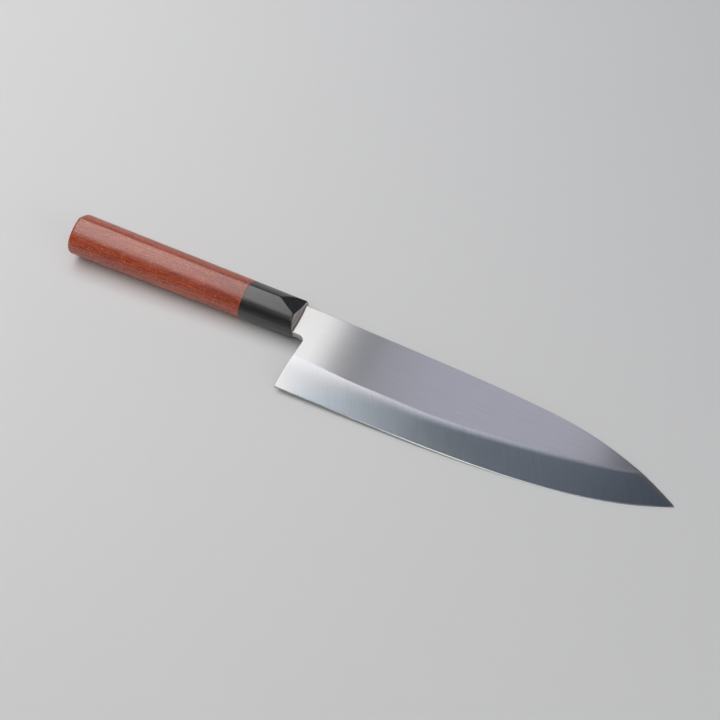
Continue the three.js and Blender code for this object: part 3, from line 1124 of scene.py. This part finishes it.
def ground_steel(name, rear_colour, colour, front_share, contrast, anisotropy, oil):
    """Ground steel, brushed along U of the brushing map, with another tint at its rear."""
    material, tree = new_material(name)
    brushed = tree.add("ShaderNodeUVMap", uv_map=BRUSHING_MAP).outputs["UV"]
    streaks = brushed_streaks(tree, brushed)
    along = tree.part(knife_coordinates(tree), "X")
    body = mix_colours(tree, front_share(tree, along), rear_colour, colour)
    fade = map_range(tree, along, HEEL_STREAKS, (HEEL_CONTRAST, contrast))
    swing = tree.math("MULTIPLY", map_range(tree, streaks["Streak"], STREAK_SPREAD, (-1.0, 1.0)), fade)
    gain = tree.math("ADD", swing, 1.0)
    streaked = tree.add("ShaderNodeVectorMath", {"Vector": body, "Scale": gain}, operation="SCALE")
    tangent = tree.add("ShaderNodeTangent", direction_type="UV_MAP", uv_map=BRUSHING_MAP)
    add_shader(tree, {
        "Base Color": streaked.outputs["Vector"],
        "Metallic": 1.0,
        "Roughness": map_range(tree, streaks["Streak"], NOISE_SPREAD, STEEL_ROUGHNESS),
        "Normal": bump(tree, streaks["Height"], BRUSH_STRENGTH, BRUSH_DEPTH),
        "Anisotropic": anisotropy,
        "Anisotropic Rotation": ACROSS_BRUSHING,
        "Tangent": tangent.outputs["Tangent"],
        "Coat Weight": oil,
        "Coat Roughness": OIL_ROUGHNESS,
        "Coat IOR": OIL_IOR,
    })
    return material


def grip_wood(colours):
    """Satin red-brown hardwood with lengthwise fibres, darker figure and golden pores."""
    material, tree = new_material("red_brown_wood")
    fibres = wood_fibres(tree)
    figure = map_range(tree, fibres["Figure"], FIGURE_SPREAD)
    body = mix_colours(tree, figure, colours.wood_red, colours.wood_light)
    dark = map_range(tree, fibres["Fibre"], DARK_FIBRES, (DARK_FIBRE_SHARE, 0.0))
    body = mix_colours(tree, dark, body, colours.wood_dark)
    fleck = tree.math("MULTIPLY", fibres["Pore"], FLECK_SHARE)
    height = tree.math("SUBTRACT", tree.math("MULTIPLY", fibres["Fibre"], FIBRE_RISE), fibres["Pore"])
    add_shader(tree, {
        "Base Color": mix_colours(tree, fleck, body, colours.wood_fleck),
        "Roughness": map_range(tree, fibres["Fibre"], NOISE_SPREAD, WOOD_ROUGHNESS),
        "Normal": bump(tree, height, WOOD_STRENGTH, WOOD_DEPTH),
        "Specular IOR Level": POLISHED_SPECULAR,
    })
    return material


def ferrule_side(colours):
    """Polished black laminate with faint fibres."""
    material, tree = new_material("black_laminate")
    fibres = wood_fibres(tree)
    brown = toned(colours.ferrule_black, BROWN_GAIN)
    brown_share = map_range(tree, fibres["Fibre"], BROWN_FIBRES)
    add_shader(tree, {
        "Base Color": mix_colours(tree, brown_share, colours.ferrule_black, brown),
        "Roughness": map_range(tree, fibres["Fibre"], NOISE_SPREAD, SIDE_ROUGHNESS),
        "Normal": bump(tree, fibres["Fibre"], SIDE_STRENGTH, SIDE_DEPTH),
        "Specular IOR Level": POLISHED_SPECULAR,
    })
    return material


def ferrule_mouth(colours):
    """Matte end of the laminate: layers stacked out of the flat, one of them reddish."""
    material, tree = new_material("laminate_mouth")
    place = knife_coordinates(tree)
    layers = noise(tree, place, LAYER_SCALE, detail=3.0, roughness=0.6)
    layer = map_range(tree, layers, LAYER_SPREAD)
    body = mix_colours(tree, layer, colours.laminate_dark, colours.laminate_light)
    gap = tree.math("ABSOLUTE", tree.math("SUBTRACT", tree.part(place, "Z"), RED_LAYER_HEIGHT))
    red = map_range(tree, gap, (RED_LAYER_HALF, 2 * RED_LAYER_HALF), (RED_LAYER_SHARE, 0.0))
    add_shader(tree, {
        "Base Color": mix_colours(tree, red, body, colours.laminate_red),
        "Roughness": map_range(tree, layers, NOISE_SPREAD, MOUTH_ROUGHNESS),
        "Normal": bump(tree, layers, MOUTH_STRENGTH, MOUTH_DEPTH),
    })
    return material


def dowel_wood(colours):
    """Plain pale wood with lengthwise fibres."""
    material, tree = new_material("pale_wood")
    fibre = wood_fibres(tree)["Fibre"]
    dark = toned(colours.dowel_wood, DOWEL_DARK)
    add_shader(tree, {
        "Base Color": mix_colours(tree, fibre, dark, colours.dowel_wood),
        "Roughness": map_range(tree, fibre, NOISE_SPREAD, DOWEL_ROUGHNESS),
    })
    return material


def cured_resin(colours):
    """Amber resin with faint clouds."""
    material, tree = new_material("amber_resin")
    clouds = noise(tree, knife_coordinates(tree), CLOUD_SCALE)
    dark = toned(colours.resin, CLOUD_DARK)
    add_shader(tree, {
        "Base Color": mix_colours(tree, clouds, dark, colours.resin),
        "Roughness": map_range(tree, clouds, NOISE_SPREAD, RESIN_ROUGHNESS),
    })
    return material


def pale_floor(colours):
    """Plain pale floor with a very faint mottle, which stays pale far from the lamps as a backdrop does."""
    material, tree = new_material("pale_floor")
    place = tree.add("ShaderNodeTexCoord").outputs["Object"]
    mottle = noise(tree, place, FLOOR_MOTTLE_SCALE)
    dark = toned(colours.floor, FLOOR_MOTTLE_DARK)
    distance = tree.add("ShaderNodeVectorMath", {"Vector": place}, operation="LENGTH").outputs["Value"]
    far = map_range(tree, distance, FAR_FLOOR, (0.0, FAR_FLOOR_LIGHT), "SMOOTHSTEP")
    rays = tree.add("ShaderNodeLightPath").outputs
    seen = tree.math("MAXIMUM", rays["Is Camera Ray"], rays["Is Glossy Ray"])
    seen = tree.math("MAXIMUM", seen, rays["Is Transmission Ray"])
    add_shader(tree, {
        "Base Color": mix_colours(tree, mottle, dark, colours.floor),
        "Roughness": FLOOR_ROUGHNESS,
        "Specular IOR Level": FLOOR_SPECULAR,
        "Emission Color": (*colours.floor, 1.0),
        "Emission Strength": tree.math("MULTIPLY", far, seen),
    })
    return material


# Stage

def add_soft_box(name, centre, aim, width, depth, radiance, tint, in_reflections):
    """Rectangular light of even brightness."""
    lamp = bpy.data.lights.new(name, "AREA")
    lamp.shape = "RECTANGLE"
    lamp.size = width
    lamp.size_y = depth
    lamp.energy = radiance * math.pi * width * depth
    lamp.color = tint
    box = bpy.data.objects.new(name, lamp)
    box.location = centre
    box.rotation_euler = (Vector(aim) - Vector(centre)).to_track_quat("-Z", "Y").to_euler()
    box.visible_camera = False
    box.visible_glossy = in_reflections
    bpy.context.scene.collection.objects.link(box)


def add_camera(stage):
    """Camera at the photograph's viewing angle."""
    lens = bpy.data.cameras.new("camera")
    lens.lens = stage.lens
    lens.sensor_width = SENSOR_WIDTH
    camera = bpy.data.objects.new("camera", lens)
    level = math.cos(stage.elevation)
    across = math.sin(stage.azimuth) * level
    along = -math.cos(stage.azimuth) * level
    back = Vector((across, along, math.sin(stage.elevation)))
    facing = (-back).to_track_quat("-Z", "Y").to_matrix().to_4x4()
    place = Vector((*stage.aim, 0)) + back * stage.distance
    camera.matrix_world = Matrix.Translation(place) @ facing @ Matrix.Rotation(stage.roll, 4, "Z")
    bpy.context.scene.collection.objects.link(camera)
    bpy.context.scene.camera = camera


def add_floor(colours):
    """Large pale floor under the knife."""
    half = FLOOR_HALF
    mesh = bpy.data.meshes.new("floor")
    corners = [(-half, -half, 0), (half, -half, 0), (half, half, 0), (-half, half, 0)]
    mesh.from_pydata(corners, [], [(0, 1, 2, 3)])
    mesh.materials.append(pale_floor(colours))
    floor = bpy.data.objects.new("floor", mesh)
    bpy.context.scene.collection.objects.link(floor)


def add_world(stage):
    """Dim light from all round, brighter near the horizon."""
    world = bpy.data.worlds.new("studio")
    world.use_nodes = True
    world.node_tree.nodes.clear()
    tree = Tree(world.node_tree)
    upward = tree.part(tree.add("ShaderNodeTexCoord").outputs["Generated"], "Z")
    raised = map_range(tree, upward, HORIZON_BAND)
    background = tree.add("ShaderNodeBackground", {
        "Color": mix_colours(tree, raised, HORIZON_TINT, WORLD_TINT),
        "Strength": map_range(tree, raised, (0.0, 1.0), (stage.horizon_light, stage.world_light)),
    })
    tree.add("ShaderNodeOutputWorld", {"Surface": background.outputs["Background"]})
    bpy.context.scene.world = world


# Operators

class DEBA_OT_stage(bpy.types.Operator):
    """Sets up the camera, the light and the floor."""

    bl_idname = "deba.stage"
    bl_label = "Stage"

    def execute(self, context):
        add_camera(context.scene.deba_stage)
        add_world(context.scene.deba_stage)
        add_floor(context.scene.deba_finishes)
        for box in SOFT_BOXES:
            add_soft_box(*box)
        context.scene.view_settings.view_transform = "Standard"
        return {"FINISHED"}


class DEBA_OT_blade(bpy.types.Operator):
    """Makes the blade with its neck and tang."""

    bl_idname = "deba.blade"
    bl_label = "Blade"

    def execute(self, context):
        colours = context.scene.deba_finishes
        flat = ground_steel(
            "flat_steel", colours.neck_steel, colours.flat_steel, past_neck,
            contrast=0.08, anisotropy=1.0, oil=1.0)
        # The bevel is painted lighter at the heel and along its line, where it catches the same lamp as the
        # flat, and darker and bluer past them, partly its ground finish and partly painted reflection of
        # the dim bluish surroundings
        bevel = ground_steel(
            "bevel_steel_and_painted_reflection", colours.flat_steel, colours.bevel_steel_and_painted_reflection, bevel_tint_and_painted_shade,
            contrast=0.09, anisotropy=0.1, oil=0.0)
        mesh = blade_mesh(BladeShape(context.scene.deba_blade))
        make_piece("finished_blade", mesh, (flat, bevel), BLADE_SHARP_ANGLE, "blade")
        return {"FINISHED"}


class DEBA_OT_ferrule(bpy.types.Operator):
    """Makes the black ferrule."""

    bl_idname = "deba.ferrule"
    bl_label = "Ferrule"

    def execute(self, context):
        colours = context.scene.deba_finishes
        shape = HandleShape(context.scene.deba_handle)
        mesh = ferrule_mesh(shape, BladeShape(context.scene.deba_blade))
        materials = (ferrule_side(colours), ferrule_mouth(colours))
        make_piece("finished_ferrule", mesh, materials, HANDLE_SHARP_ANGLE, "ferrule")
        return {"FINISHED"}


class DEBA_OT_grip(bpy.types.Operator):
    """Sweeps the wooden grip."""

    bl_idname = "deba.grip"
    bl_label = "Grip"

    def execute(self, context):
        sizes = context.scene.deba_handle
        wood = grip_wood(context.scene.deba_finishes)
        mesh = evaluated_mesh(section_curve(HandleShape(sizes)), sweep_tree(), {
            "Length": sizes.joint - sizes.butt,
            "Full Length": sizes.mouth - sizes.butt,
            "Half Width": sizes.half_width,
            "Taper": sizes.taper,
            "Butt Rounding": sizes.butt_rounding,
            "Butt Drop": sizes.butt_drop,
            "Seam": sizes.seam,
            "Socket Radius": SOCKET_RADIUS,
            "Socket Depth": sizes.joint - SOCKET_END,
            "Butt Rings": BUTT_RINGS,
            "Body Rings": GRIP_RINGS,
            "Bore Sides": BORE_SIDES,
            "Wood": wood,
        })
        mesh.materials.clear()
        mesh.transform(Matrix.Translation((sizes.butt, *sizes.axis)))
        make_piece("finished_grip", mesh, (wood,), HANDLE_SHARP_ANGLE, "grip")
        return {"FINISHED"}


class DEBA_OT_inner_pieces(bpy.types.Operator):
    """Finishes the dowel and the resin inside the handle."""

    bl_idname = "deba.inner_pieces"
    bl_label = "Inner Pieces"

    def execute(self, context):
        colours = context.scene.deba_finishes
        for node, material in (("tang_dowel", dowel_wood(colours)), ("tang_resin", cured_resin(colours))):
            solid = frame["nodes"][node]
            solid.data.materials.clear()
            solid.data.materials.append(material)
        return {"FINISHED"}


class DEBA_PT_knife(bpy.types.Panel):
    """Lists the steps that make the knife, and their settings."""

    bl_label = "Deba Knife"
    bl_space_type = "VIEW_3D"
    bl_region_type = "UI"
    bl_category = "Deba"

    def draw(self, context):
        for operator in OPERATORS:
            self.layout.operator(operator.bl_idname)
        for name in GROUPS:
            box = self.layout.box()
            settings = getattr(context.scene, name)
            for setting in settings.__annotations__:
                box.prop(settings, setting)


GROUPS = {
    "deba_blade": BladeSizes,
    "deba_handle": HandleSizes,
    "deba_finishes": Finishes,
    "deba_stage": StageSizes,
}
OPERATORS = (DEBA_OT_stage, DEBA_OT_blade, DEBA_OT_ferrule, DEBA_OT_grip, DEBA_OT_inner_pieces)
CLASSES = (*GROUPS.values(), *OPERATORS, DEBA_PT_knife)


def register():
    """Registers the classes and hangs the settings on the scene."""
    for new_class in CLASSES:
        bpy.utils.register_class(new_class)
    for name, group in GROUPS.items():
        setattr(bpy.types.Scene, name, PointerProperty(type=group))


def unregister():
    """Takes the settings and the classes away again."""
    for name in GROUPS:
        delattr(bpy.types.Scene, name)
    for old_class in reversed(CLASSES):
        bpy.utils.unregister_class(old_class)


def main():
    """Makes the whole scene."""
    register()
    bpy.ops.deba.stage()
    bpy.ops.deba.blade()
    bpy.ops.deba.ferrule()
    bpy.ops.deba.grip()
    bpy.ops.deba.inner_pieces()


if __name__ == "__main__":
    main()
